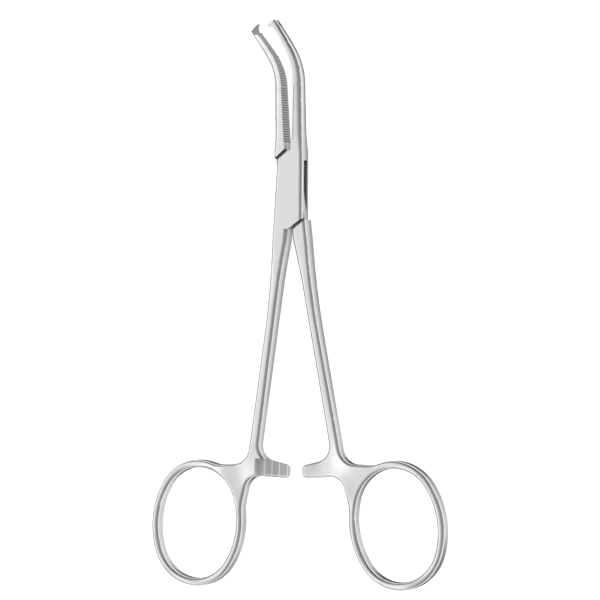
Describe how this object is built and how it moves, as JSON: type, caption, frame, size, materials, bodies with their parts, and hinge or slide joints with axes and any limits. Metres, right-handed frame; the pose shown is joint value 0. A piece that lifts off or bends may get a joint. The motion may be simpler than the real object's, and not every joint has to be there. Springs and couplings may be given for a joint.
{
  "type": "hemostatic forceps",
  "caption": "Locking box-joint haemostatic forceps with side-curved, cross-serrated jaws, interlocking tip teeth, slim shanks, a stepped ratchet and oval finger rings.",
  "frame": {"origin": "on the pivot pin's axis, at the flat back face of the box lock that lies on the table", "axes": "+Z along the pivot pin, up out of the front face; +Y from the pin towards the jaw tips; +X to the right seen from the front"},
  "size_m": [0.0826, 0.1414, 0.0042],
  "materials": {
    "forged_steel": "satin polished stainless steel",
    "pin_steel": "ground flush and polished stainless steel"
  },
  "bodies": {
    "box_body": {"box_half": "forged_steel", "pivot_pin": "pin_steel"},
    "tongue_body": {"tongue_half": "forged_steel"}
  },
  "joints": [
    {"name": "box_lock", "type": "hinge", "parent": "box_body", "child": "tongue_body", "pos_m": [0, 0, 0], "axis": [0, 0, 1], "range_deg": [-6.4, 37.5]}
  ]
}
